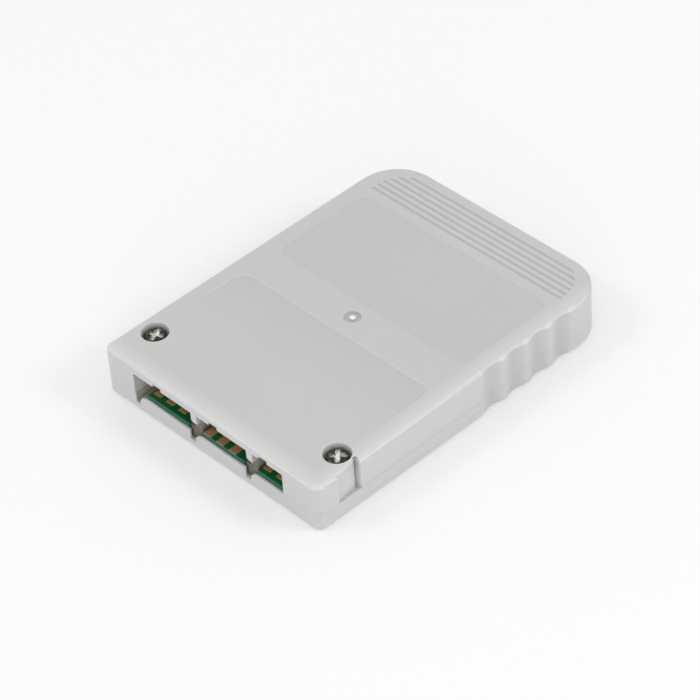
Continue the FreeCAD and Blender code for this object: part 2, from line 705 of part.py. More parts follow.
def lower_supports(body):
    """Screw bosses with pilot holes, board rests and pins, and the rails that line up the shells."""
    root = size("floor") - size("joint_overlap")
    bosses = new_sketch(body, "lower_bosses", "XY_Plane", root)
    for x, y in SCREW_PLACES:
        draw_circle(bosses, x, y, size("pilot_hole") + 2 * size("lower_boss_wall"))
    pad(body, bosses, size("split_height") - root)
    rests = new_sketch(body, "board_rests", "XY_Plane", root)
    for x, y in REST_PLACES + POST_PLACES:
        draw_circle(rests, x, y, size("rest_width"))
    pad(body, rests, BOARD_UNDERSIDE - root)
    pins = new_sketch(body, "board_pins", "XY_Plane", root)
    for x, y in POST_PLACES:
        draw_circle(pins, x, y, size("pin_width"))
    pad(body, pins, size("board_top") + size("pin_height") - root)
    rails = new_sketch(body, "rails", "XY_Plane", root)
    for side in (-1, 1):
        draw_box(rails, RAIL_INSIDE * side, RAIL_OUTSIDE * side, FRONT + size("rail_front"),
                 REAR - size("rail_rear"))
    pad(body, rails, size("split_height") + size("rail_height") - root)
    holes = new_sketch(body, "pilot_holes", "XY_Plane", size("split_height"))
    for x, y in SCREW_PLACES:
        draw_circle(holes, x, y, size("pilot_hole"))
    pocket(body, holes, size("split_height") - size("pilot_floor"))


def make_lower_shell():
    body = new_body("lower_shell")
    lower_tray(body)
    lower_sills(body)
    lower_bay(body)
    lower_supports(body)


# Circuit board and its edge contacts

def make_circuit_board():
    body = new_body("circuit_board")
    outline = new_sketch(body, "board_outline", "XY_Plane", BOARD_UNDERSIDE)
    side = RAIL_INSIDE - size("board_side_gap")
    rear = REAR - size("wall") - size("board_rear_gap")
    slot = FRONT + size("rib_reach") + size("slot_clearance")
    corner = size("board_corner")
    half_contact = size("contact_width") / 2
    first_group, first_count = CONTACT_GROUPS[0][:2]
    last_group, last_count = CONTACT_GROUPS[-1][:2]
    nose_left = contact_middle(first_group, first_count, 0) - half_contact - size("nose_left_margin")
    nose_right = (contact_middle(last_group, last_count, last_count - 1) + half_contact
                  + size("nose_right_margin"))
    nose = [(nose_left, BOARD_FRONT)]
    for middle in RIBS:
        slot_left = middle - size("rib_width") / 2 - size("slot_left_gap")
        slot_right = middle + size("rib_width") / 2 + size("slot_right_gap")
        nose += [(slot_left, BOARD_FRONT), (slot_left, slot), (slot_right, slot), (slot_right, BOARD_FRONT)]
    nose.append((nose_right, BOARD_FRONT))
    draw_polygon(outline, nose + [
        (nose_right, BOARD_SHOULDER),
        (side, BOARD_SHOULDER),
        (side, rear - corner),
        (side - corner, rear),
        (corner - side, rear),
        (-side, rear - corner),
        (-side, BOARD_SHOULDER),
        (nose_left, BOARD_SHOULDER),
    ])
    pad(body, outline, size("board_thickness"))
    holes = new_sketch(body, "pin_holes", "XY_Plane", size("board_top"))
    for x, y in POST_PLACES:
        draw_circle(holes, x, y, size("pin_width") + 2 * size("pin_clearance"))
    pocket(body, holes, size("board_thickness"))


def make_contacts():
    """Eight gold contacts: three short, three long that reach the board's edge, two short."""
    number = 0
    rear = BOARD_FRONT + size("contact_setback") + size("contact_length")
    half = size("contact_width") / 2
    for group, count, is_long in CONTACT_GROUPS:
        for place in range(count):
            number += 1
            middle = contact_middle(group, count, place)
            front = BOARD_FRONT if is_long else BOARD_FRONT + size("contact_setback")
            body = new_body("contact_%d" % number)
            outline = new_sketch(body, "contact_%d_outline" % number, "XY_Plane", size("board_top"))
            draw_box(outline, middle - half, middle + half, front, rear)
            pad(body, outline, size("contact_foil"))


# Components on the board

def place(body, x, y, quarter_turn=False):
    """Stand a component on the board."""
    turn = FreeCAD.Rotation(FreeCAD.Vector(0, 0, 1), 90 if quarter_turn else 0)
    body.Placement = FreeCAD.Placement(
        FreeCAD.Vector(x.value, y.value, sizes["board_top"]), turn)
    bind(body, "Placement.Base.x", x)
    bind(body, "Placement.Base.y", y)
    bind(body, "Placement.Base.z", size("board_top"))


def make_chip(kind, x, y, quarter_turn):
    """The moulded body of a chip with a round mark at its first pin."""
    body = new_body(kind + "_chip")
    half_width = size(kind + "_width") / 2
    half_length = size(kind + "_length") / 2
    outline = new_sketch(body, kind + "_outline", "XY_Plane", size("chip_standoff"))
    draw_box(outline, -half_width, half_width, -half_length, half_length)
    pad(body, outline, size(kind + "_height"))
    mark = new_sketch(body, kind + "_mark", "XY_Plane", size("chip_standoff") + size(kind + "_height"))
    inset = size("pin_mark_width")
    draw_circle(mark, inset - half_width, half_length - inset, size("pin_mark_width"))
    pocket(body, mark, size("pin_mark_depth"))
    place(body, x, y, quarter_turn)


def make_leads(kind, count, x, y, quarter_turn):
    """Two rows of gull-wing leads, from the chip's sides down to the board."""
    body = new_body(kind + "_leads")
    body.AllowCompound = True
    sheet_metal = size("lead_thickness")
    middle = size("chip_standoff") + size(kind + "_height") / 2
    root = size(kind + "_width") / 2
    foot = size(kind + "_span") / 2
    bend = root + (foot - root) / 3
    row = size(kind + "_pitch") * (count - 1)
    profile = new_sketch(body, kind + "_lead_profile", "XZ_Plane", (row - size(kind + "_lead")) / 2)
    for side in (-1, 1):
        draw_polygon(profile, [(side * along, up) for along, up in (
            (root, middle + sheet_metal / 2),
            (bend + sheet_metal, middle + sheet_metal / 2),
            (bend + sheet_metal, sheet_metal),
            (foot, sheet_metal),
            (foot, as_size(0)),
            (bend, as_size(0)),
            (bend, middle - sheet_metal / 2),
            (root, middle - sheet_metal / 2),
        )])
    first = pad(body, profile, size(kind + "_lead"))
    leads = body.newObject("PartDesign::LinearPattern", kind + "_lead_row")
    leads.Originals = [first]
    y_axis = next(item for item in body.Origin.OriginFeatures if item.Role == "Y_Axis")
    leads.Direction = (y_axis, [""])
    bind(leads, "Length", row)
    leads.Occurrences = count
    body.Tip = leads
    place(body, x, y, quarter_turn)


def make_passive(label, height, x, y):
    """A capacitor or resistor: a ceramic block whose soldered ends stand slightly proud."""
    body = new_body(label)
    half_length = size("passive_length") / 2
    half_width = size("passive_width") / 2
    relief = size("passive_relief")
    ends = new_sketch(body, label + "_ends", "XY_Plane")
    inner = half_length - size("passive_end")
    draw_box(ends, -half_width, half_width, -half_length, -inner)
    draw_box(ends, -half_width, half_width, inner, half_length)
    middle = new_sketch(body, label + "_middle", "XY_Plane", relief)
    draw_box(middle, relief - half_width, half_width - relief, relief - half_length, half_length - relief)
    pad(body, middle, height - 2 * relief)
    pad(body, ends, height)
    place(body, x, y)


def make_resonator():
    body = new_body("resonator")
    outline = new_sketch(body, "resonator_outline", "XY_Plane")
    half_width = size("resonator_width") / 2
    half_length = size("resonator_length") / 2
    radius = size("resonator_width") / 4
    draw_rounded_box(outline, -half_width, half_width, -half_length, half_length, radius, radius)
    pad(body, outline, size("resonator_height"))
    place(body, SIDE_PARTS_X, -size("controller_y"))


def make_small_chip(label, lead_boxes, y):
    """A small moulded body with its leads."""
    body = new_body(label)
    half_width = size("small_chip_width") / 2
    half_length = size("small_chip_length") / 2
    outline = new_sketch(body, label + "_outline", "XY_Plane", size("chip_standoff"))
    draw_box(outline, -half_width, half_width, -half_length, half_length)
    pad(body, outline, size("small_chip_height"))
    leads = new_sketch(body, label + "_leads", "XY_Plane")
    for box in lead_boxes:
        draw_box(leads, *box)
    pad(body, leads, size("lead_thickness"))
    place(body, -SIDE_PARTS_X, y)


def make_board_components():
    centre = as_size(0)
    make_chip("controller", centre, -size("controller_y"), True)
    make_leads("controller", CONTROLLER_LEADS, centre, -size("controller_y"), True)
    make_chip("memory", centre, size("memory_y"), False)
    make_leads("memory", MEMORY_LEADS, centre, size("memory_y"), False)
    controller_rear = size("controller_span") / 2 - size("controller_y")
    memory_front = size("memory_y") - size("memory_length") / 2
    for number in range(PASSIVES):
        x = (number - (PASSIVES - 1) / 2) * size("passive_pitch")
        kind = "resistor" if number % 2 else "capacitor"
        make_passive("%s_%d" % (kind, number // 2 + 1), size(kind + "_height"), x,
                     (controller_rear + memory_front) / 2)
    make_resonator()
    lead = size("small_lead") / 2
    inner = size("small_chip_width") / 4
    outer = size("small_chip_span") / 2
    offset = size("small_lead_offset")
    make_small_chip("reset_chip", [
        (inner, outer, -lead, lead),
        (-outer, -inner, -offset - lead, lead - offset),
        (-outer, -inner, offset - lead, offset + lead),
    ], -size("reset_y"))
    near = size("small_chip_length") / 4
    far = size("diode_span") / 2
    make_small_chip("diode", [(-lead, lead, near, far), (-lead, lead, -far, -near)], -size("diode_y"))


# Screws

def make_screw(label, x, y):
    """A pan head screw with a cross recess, its head seated in the round recess of the upper shell."""
    body = new_body(label)
    profile = new_sketch(body, label + "_profile", "XZ_Plane")
    head = size("head_width") / 2
    shank = size("pilot_hole") / 2 - size("thread_gap")
    top = HEAD_SEAT + size("head_height")
    tip = HEAD_SEAT - size("shank_length")
    draw_polygon(profile, [
        (as_size(0), tip),
        (shank, tip + size("tip_length")),
        (shank, HEAD_SEAT),
        (head, HEAD_SEAT),
        (head, top - size("head_slope_height")),
        (head - size("head_slope_width"), top),
        (as_size(0), top),
    ])
    turned = body.newObject("PartDesign::Revolution", label + "_turned")
    turned.Profile = profile
    turned.ReferenceAxis = (profile, ["V_Axis"])
    turned.Angle = 360
    cross = new_sketch(body, label + "_cross", "XY_Plane", top)
    long_half = size("cross_length") / 2
    thin_half = size("cross_width") / 2
    draw_polygon(cross, [
        (-thin_half, -long_half), (thin_half, -long_half), (thin_half, -thin_half),
        (long_half, -thin_half), (long_half, thin_half), (thin_half, thin_half),
        (thin_half, long_half), (-thin_half, long_half), (-thin_half, thin_half),
        (-long_half, thin_half), (-long_half, -thin_half), (-thin_half, -thin_half),
    ])
    pocket(body, cross, size("cross_depth"))
    bind(body, "Placement.Base.x", x)
    bind(body, "Placement.Base.y", y)


make_upper_shell()
make_lower_shell()
make_circuit_board()
make_contacts()
make_board_components()
make_screw("screw_left", *SCREW_PLACES[0])
make_screw("screw_right", *SCREW_PLACES[1])
doc.recompute()

for item in doc.Objects:
    if "Invalid" in item.State or "Error" in item.State:
        raise RuntimeError("%s did not build: %s" % (item.Name, item.State))
os.makedirs("parts", exist_ok=True)
for part in parts:
    if part.Shape.isNull() or not part.Shape.isValid():
        raise RuntimeError(part.Label + " has no valid shape")
    part.Shape.exportStep(os.path.join("parts", part.Label + ".step"))
    print(part.Label, len(part.Shape.Solids), "solid", round(part.Shape.Volume, 2), "mm3")
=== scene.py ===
"""Looks of the console memory card: finishes, fine edges and small parts around the fixed model."""
import math

import bmesh
import bpy
from bpy.props import FloatProperty, FloatVectorProperty, PointerProperty
from mathutils import Matrix, Vector


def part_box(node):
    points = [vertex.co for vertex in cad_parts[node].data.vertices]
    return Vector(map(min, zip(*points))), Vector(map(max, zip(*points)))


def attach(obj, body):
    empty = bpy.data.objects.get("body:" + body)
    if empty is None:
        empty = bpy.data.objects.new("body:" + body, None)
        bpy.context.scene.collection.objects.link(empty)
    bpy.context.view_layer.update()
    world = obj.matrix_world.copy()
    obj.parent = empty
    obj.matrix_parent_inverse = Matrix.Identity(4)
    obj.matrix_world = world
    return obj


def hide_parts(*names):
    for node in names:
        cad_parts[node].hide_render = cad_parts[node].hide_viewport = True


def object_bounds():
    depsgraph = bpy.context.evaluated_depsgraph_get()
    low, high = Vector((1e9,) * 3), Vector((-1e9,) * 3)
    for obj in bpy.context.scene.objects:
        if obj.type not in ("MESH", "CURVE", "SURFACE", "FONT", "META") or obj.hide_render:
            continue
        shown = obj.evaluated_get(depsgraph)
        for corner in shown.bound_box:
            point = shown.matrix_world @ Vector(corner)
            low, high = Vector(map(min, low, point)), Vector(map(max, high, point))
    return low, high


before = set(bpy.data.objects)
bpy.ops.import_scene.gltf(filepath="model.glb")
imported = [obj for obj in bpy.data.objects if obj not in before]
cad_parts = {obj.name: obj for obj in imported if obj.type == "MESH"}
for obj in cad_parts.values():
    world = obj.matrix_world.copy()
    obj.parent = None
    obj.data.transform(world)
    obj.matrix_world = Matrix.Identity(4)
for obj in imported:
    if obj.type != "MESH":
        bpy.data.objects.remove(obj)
CAD_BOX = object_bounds()
MM = 0.001
NEAR = 0.005 * MM
TOP = CAD_BOX[1][2]
# Behind this line, edges under the roof can't be seen
HIDDEN_FROM = -22 * MM
# The scallops and the latch notch lie within this depth of the long side
SKIN = 1 * MM
# Faces that meet at less than this angle are one flat face
FLAT = math.radians(0.3)
# Edges that are flatter than this are neither rounded nor sharp
SHARP = math.radians(20)
WIDE = "wide_edges"
FINE = "fine_edges"
BODY = "root"

bl_info = {
    "name": "Memory card looks",
    "version": (1, 0, 0),
    "blender": (4, 5, 0),
    "location": "3D View > Sidebar > Card",
    "description": "Dresses the memory card in its finishes and sets the stage",
    "category": "Object",
}


# Settings

class ShellSettings(bpy.types.PropertyGroup):
    edge: FloatProperty(
        name="Edge rounding", description="Rounding of the moulded edges", default=0.08 * MM, unit="LENGTH")
    wide_edge: FloatProperty(
        name="Wide edge", description="Rounding of the screw recesses in the upper face",
        default=0.22 * MM, unit="LENGTH")
    recess: FloatProperty(
        name="Recess", description="Radius of the screw recesses", default=1.95 * MM, unit="LENGTH")
    panel_depth: FloatProperty(
        name="Panel depth", description="Depth within which panels and grooves lie", default=0.3 * MM,
        unit="LENGTH")
    roof: FloatProperty(
        name="Roof", description="Depth under which edges inside the card are left sharp",
        default=1.3 * MM, unit="LENGTH")
    soft_edge: FloatProperty(
        name="Soft edge", description="Rounding of the panels and grip grooves", default=0.05 * MM,
        unit="LENGTH")
    joint: FloatProperty(
        name="Joint", description="Height of the joint between the shells", default=2.8 * MM,
        unit="LENGTH")
    chamfer: FloatProperty(
        name="Upper chamfer", description="Chamfer of the upper rim", default=0.45 * MM, unit="LENGTH")
    base_chamfer: FloatProperty(
        name="Lower chamfer", description="Chamfer of the lower rim", default=0.4 * MM, unit="LENGTH")
    foot_one: FloatProperty(
        name="First foot", description="Left side of the first rib, which its wider foot meets",
        default=-3.45 * MM, unit="LENGTH")
    foot_two: FloatProperty(
        name="Second foot", description="Left side of the second rib, which its wider foot meets",
        default=7.41 * MM, unit="LENGTH")
    foot_width: FloatProperty(
        name="Foot width", description="How far a foot stands out beside its rib", default=0.96 * MM,
        unit="LENGTH")
    foot_front: FloatProperty(
        name="Foot front", description="Front of the feet", default=-27.34 * MM, unit="LENGTH")
    foot_rear: FloatProperty(
        name="Foot rear", description="Rear of the feet", default=-25.5 * MM, unit="LENGTH")
    foot_bottom: FloatProperty(
        name="Foot bottom", description="Underside of the feet", default=1.3 * MM, unit="LENGTH")
    foot_top: FloatProperty(
        name="Foot top", description="Upper side of the feet", default=3.3 * MM, unit="LENGTH")
    colour: FloatVectorProperty(
        name="Plastic", description="Colour of the shells", default=(0.57, 0.57, 0.567), subtype="COLOR")
    # Painted light: the walls of the connector bay get a paler, warmer tone in place of the light that falls
    # on them
    bay_painted_light: FloatVectorProperty(
        name="Bay", description="Plastic inside the connector bay", default=(0.68, 0.63, 0.58),
        subtype="COLOR")
    # Painted shade on the ribs and between them in the bay, lighter on the faces turned to +X than on the
    # fronts
    rib_front_painted_shade: FloatVectorProperty(
        name="Ribs", description="Dusty, duller plastic of the ribs in the bay",
        default=(0.17, 0.152, 0.128), subtype="COLOR")
    rib_side_painted_shade: FloatVectorProperty(
        name="Rib sides", description="The same on the sides of the ribs", default=(0.4, 0.36, 0.31),
        subtype="COLOR")
    rib_side: FloatProperty(
        name="Rib side", description="Half width within which the ribs lie", default=12.0 * MM,
        unit="LENGTH")
    # Painted highlight along the +X and -Y rims of the upper face, palest at the edge
    highlight_rim_width: FloatProperty(
        name="Pale rim", description="Width of the paler rim of the upper face", default=3.0 * MM,
        unit="LENGTH")
    rim_painted_highlight: FloatProperty(
        name="Rim paleness", description="How pale that rim is at the edge", default=0.22,
        subtype="FACTOR")
    scallop_first: FloatProperty(
        name="Scallops from", description="Front end of the scallops", default=2.15 * MM, unit="LENGTH")
    scallop_last: FloatProperty(
        name="Scallops to", description="Rear end of the scallops", default=20.15 * MM, unit="LENGTH")
    scallop_pitch: FloatProperty(
        name="Scallop pitch", description="Distance between scallops", default=4.5 * MM, unit="LENGTH")
    # Painted shade in the hollows of the scallops
    hollow_painted_shade: FloatProperty(
        name="Hollow shade", description="Dullness in the scallops' hollows", default=0.12,
        subtype="FACTOR")
    notch_front: FloatProperty(
        name="Notch from", description="Front end of the latch notch", default=-24.35 * MM,
        unit="LENGTH")
    notch_rear: FloatProperty(
        name="Notch to", description="Rear end of the latch notch", default=-20.15 * MM,
        unit="LENGTH")
    notch_depth: FloatProperty(
        name="Notch depth", description="Depth of the latch notch at its deepest line",
        default=0.75 * MM, unit="LENGTH")
    latch_front: FloatProperty(
        name="Latch wall", description="Front of the latch notch's steep wall",
        default=-20.75 * MM, unit="LENGTH")
    # Painted shade on the steep wall of the latch notch
    latch_painted_shade: FloatProperty(
        name="Latch shade", description="Dullness of that wall where it is deepest", default=0.55,
        subtype="FACTOR")
    far_skin: FloatProperty(
        name="Far skin", description="Depth from the far side in which only its outer skin lies",
        default=1.1 * MM, unit="LENGTH")
    panel_side: FloatProperty(
        name="Panel side", description="Half width within which the panels lie", default=18.45 * MM,
        unit="LENGTH")
    wedge_front: FloatProperty(
        name="Wedge from", description="Front of the wedge panel", default=-17 * MM, unit="LENGTH")
    wedge_rear: FloatProperty(
        name="Wedge to", description="Rear of the wedge panel", default=-4.3 * MM, unit="LENGTH")
    panel_front: FloatProperty(
        name="Rear panel from", description="Front of the rear panel", default=1.25 * MM, unit="LENGTH")
    panel_rear: FloatProperty(
        name="Rear panel to", description="Rear of the rear panel", default=19.05 * MM, unit="LENGTH")
    step_depth: FloatProperty(
        name="Step", description="Depth at which a panel's step is slanted in full", default=0.15 * MM,
        unit="LENGTH")
    slant: FloatProperty(
        name="Slant", description="How far the foot of such a step lies inside the panel",
        default=0.25 * MM, unit="LENGTH")
    # Painted shade on the sunk panels
    panel_painted_shade: FloatProperty(
        name="Panel shade", description="Dullness of the sunk panels", default=0.055, subtype="FACTOR")
    line_tilt: FloatProperty(
        name="Step tilt", description="Upward part of the normal below which a step counts as one",
        default=0.985, subtype="FACTOR")
    # Painted light on the steps around the panels
    step_painted_light: FloatProperty(
        name="Step paleness", description="How pale the steps around the panels are", default=0.05,
        subtype="FACTOR")
    # Painted shade in the grip grooves
    groove_painted_shade: FloatProperty(
        name="Groove shade", description="Dullness in the grip grooves", default=0.08, subtype="FACTOR")
    groove_front: FloatProperty(
        name="Grooves from", description="Front of the grip grooves", default=20.2 * MM, unit="LENGTH")
    # Painted highlight: the gate stub is painted white
    gate_place: FloatProperty(
        name="Gate", description="Middle of the moulding gate's stub", default=-1.15 * MM, unit="LENGTH")
    gate_highlight_radius: FloatProperty(
        name="Gate radius", description="Radius of the pale stub", default=0.42 * MM, unit="LENGTH")
    # Bounds of the painted light and shade in the connector bay
    bay_front: FloatProperty(
        name="Bay front", description="Where the duller plastic starts", default=-27.35 * MM, unit="LENGTH")
    bay_rear: FloatProperty(
        name="Bay rear", description="Where it ends", default=-19 * MM, unit="LENGTH")
    bay_top: FloatProperty(
        name="Bay top", description="Height under which it lies", default=6.45 * MM, unit="LENGTH")
    bay_floor: FloatProperty(
        name="Bay floor", description="Height over which it lies", default=1.1 * MM, unit="LENGTH")
    bay_side: FloatProperty(
        name="Bay side", description="Half width within which it lies", default=16.0 * MM, unit="LENGTH")
    roughness: FloatProperty(
        name="Roughness", description="Mattness of the plastic", default=0.46, subtype="FACTOR")
    grain: FloatProperty(
        name="Grain", description="Size of the moulded grain", default=0.2 * MM, unit="LENGTH")


class BoardSettings(bpy.types.PropertyGroup):
    mask: FloatVectorProperty(
        name="Solder mask", description="Green of the board", default=(0.003, 0.085, 0.02), subtype="COLOR")
    laminate: FloatVectorProperty(
        name="Laminate", description="Cut edge of the board", default=(0.015, 0.12, 0.07), subtype="COLOR")
    # A paler band along the bottom of the board's cut edge
    low_edge_band: FloatVectorProperty(
        name="Fibre", description="Bare lower layer of that edge", default=(0.3, 0.5, 0.38), subtype="COLOR")
    low_edge_band_height: FloatProperty(
        name="Fibre depth", description="Height of the bare lower layer", default=0.16 * MM, unit="LENGTH")
    copper: FloatVectorProperty(
        name="Contact", description="Worn plating of the contacts", default=(0.58, 0.28, 0.13),
        subtype="COLOR")
    rim: FloatVectorProperty(
        name="Contact rim", description="Bright rim of the contacts", default=(0.66, 0.46, 0.2),
        subtype="COLOR")


class ScrewSettings(bpy.types.PropertyGroup):
    # Painted reflection: the screw heads get this dark colour in place of a dark reflection
    head_painted_reflection: FloatVectorProperty(
        name="Nickel", description="Plating of the screws", default=(0.06, 0.056, 0.049), subtype="COLOR")
    # Painted highlight: the cross recess is painted bright in place of the glints in it
    bright: FloatVectorProperty(
        name="Bright", description="Plating inside the cross recess", default=(0.95, 0.93, 0.87),
        subtype="COLOR")
    head_height: FloatProperty(
        name="Head", description="Height of the head", default=1.3 * MM, unit="LENGTH")
    head_side: FloatProperty(
        name="Head side", description="Height of the head's straight side", default=0.55 * MM, unit="LENGTH")
    head_play: FloatProperty(
        name="Head play", description="How much smaller the head's radius is than the solid's",
        default=0.12 * MM, unit="LENGTH")
    sunk: FloatProperty(
        name="Sunk", description="How much lower the top of the head lies than the solid's",
        default=0.15 * MM, unit="LENGTH")
    burr: FloatProperty(
        name="Underside edge", description="Rounding under the head", default=0.06 * MM, unit="LENGTH")
    shank: FloatProperty(
        name="Shank", description="Radius of the shank", default=0.84 * MM, unit="LENGTH")
    tip: FloatProperty(
        name="Tip", description="Length of the pointed end", default=0.7 * MM, unit="LENGTH")
    cross_length: FloatProperty(
        name="Cross", description="Length of the cross recess", default=4.0 * MM, unit="LENGTH")
    cross_width: FloatProperty(
        name="Arm", description="Width of an arm of the cross recess", default=1.0 * MM, unit="LENGTH")
    cross_foot: FloatProperty(
        name="Cross foot", description="Length of the cross at its foot", default=1.5 * MM, unit="LENGTH")
    cross_foot_width: FloatProperty(
        name="Arm foot", description="Width of an arm at its foot", default=0.5 * MM, unit="LENGTH")
    cross_depth: FloatProperty(
        name="Depth", description="Depth of the cross recess", default=0.65 * MM, unit="LENGTH")
    cross_edge: FloatProperty(
        name="Cross edge", description="Rounding of the cross recess", default=0.05 * MM, unit="LENGTH")
    turn_left: FloatProperty(
        name="Left turn", description="How the left screw's cross is turned", default=math.radians(20),
        subtype="ANGLE")
    turn_right: FloatProperty(
        name="Right turn", description="How the right screw's cross is turned", default=math.radians(44),
        subtype="ANGLE")


class StageSettings(bpy.types.PropertyGroup):
    azimuth: FloatProperty(
        name="Azimuth", description="Camera direction round the card", default=math.radians(48.70),
        subtype="ANGLE")
    elevation: FloatProperty(
        name="Elevation", description="Camera height angle", default=math.radians(41.20), subtype="ANGLE")
    roll: FloatProperty(
        name="Roll", description="Camera turned about its view", default=math.radians(-4.41),
        subtype="ANGLE")
    place: FloatVectorProperty(
        name="Camera", description="Where the camera stands", default=(0.24199, -0.21465, 0.28438),
        subtype="TRANSLATION")
    lens: FloatProperty(name="Lens", description="Focal length in millimetres", default=160.92)
    floor: FloatVectorProperty(
        name="Floor", description="Colour of the floor", default=(0.95, 0.95, 0.95), subtype="COLOR")
    glow: FloatVectorProperty(
        name="Glow", description="Light of the floor as the camera sees it", default=(1.0, 1.0, 1.0),
        subtype="COLOR")
    lift: FloatProperty(
        name="Lift", description="Share of that light, which softens the shadow", default=0.2,
        subtype="FACTOR")
    surround: FloatProperty(
        name="Surround", description="Strength of the even light from all sides", default=0.8)


# Shader maths

class Wire:
    """A shader socket that can be used in arithmetic."""

    def __init__(self, maker, node, socket):
        self.maker = maker
        self.node = node
        self.socket = socket

    def out(self, name):
        return Wire(self.maker, self.node, self.node.outputs[name])

    def maths(self, operation, *terms):
        return self.maker.node("ShaderNodeMath", {"operation": operation}, dict(enumerate(terms)))

    def __add__(self, other):
        return self.maths("ADD", self, other)

    __radd__ = __add__

    def __sub__(self, other):
        return self.maths("SUBTRACT", self, other)

    def __rsub__(self, other):
        return self.maths("SUBTRACT", other, self)

    def __mul__(self, other):
        return self.maths("MULTIPLY", self, other)

    __rmul__ = __mul__

    def absolute(self):
        return self.maths("ABSOLUTE", self)

    def above(self, limit):
        return self.maths("GREATER_THAN", self, limit)

    def smaller(self, other):
        return self.maths("MINIMUM", self, other)

    def larger(self, other):
        return self.maths("MAXIMUM", self, other)

    def cosine(self):
        return self.maths("COSINE", self)


class Finish:
    """One material and its nodes."""

    def __init__(self, name):
        self.material = bpy.data.materials.new(name)
        self.material.use_nodes = True
        self.tree = self.material.node_tree
        self.tree.nodes.clear()

    def node(self, kind, settings=None, sockets=None):
        item = self.tree.nodes.new(kind)
        for name, value in (settings or {}).items():
            setattr(item, name, value)
        for key, value in (sockets or {}).items():
            if isinstance(value, Wire):
                self.tree.links.new(value.socket, item.inputs[key])
            else:
                item.inputs[key].default_value = value
        return Wire(self, item, item.outputs[0] if item.outputs else None)

    def coordinates(self):
        return self.node("ShaderNodeTexCoord").out("Object")

    def place(self):
        """The X, Y and Z of the surface on the card."""
        return self.node("ShaderNodeSeparateXYZ", {}, {"Vector": self.coordinates()})

    def noise(self, size, detail):
        """Noise between 0 and 1 whose lumps are about this large."""
        return self.node("ShaderNodeTexNoise", {}, {
            "Vector": self.coordinates(), "Scale": 1.0 / size, "Detail": detail}).out("Fac")

    def blend(self, mask, first, second):
        colours = [item if isinstance(item, Wire) else (*item, 1.0) for item in (first, second)]
        mixed = self.node("ShaderNodeMix", {"data_type": "RGBA"}, {0: mask, 6: colours[0], 7: colours[1]})
        return Wire(self, mixed.node, mixed.node.outputs[2])

    def bump(self, height, depth):
        return self.node("ShaderNodeBump", {}, {"Height": height, "Distance": depth}).out("Normal")

    def surface(self, sockets):
        shader = self.node("ShaderNodeBsdfPrincipled", {}, sockets)
        self.node("ShaderNodeOutputMaterial", {}, {"Surface": shader})
        return self.material


def settings():
    return bpy.context.scene


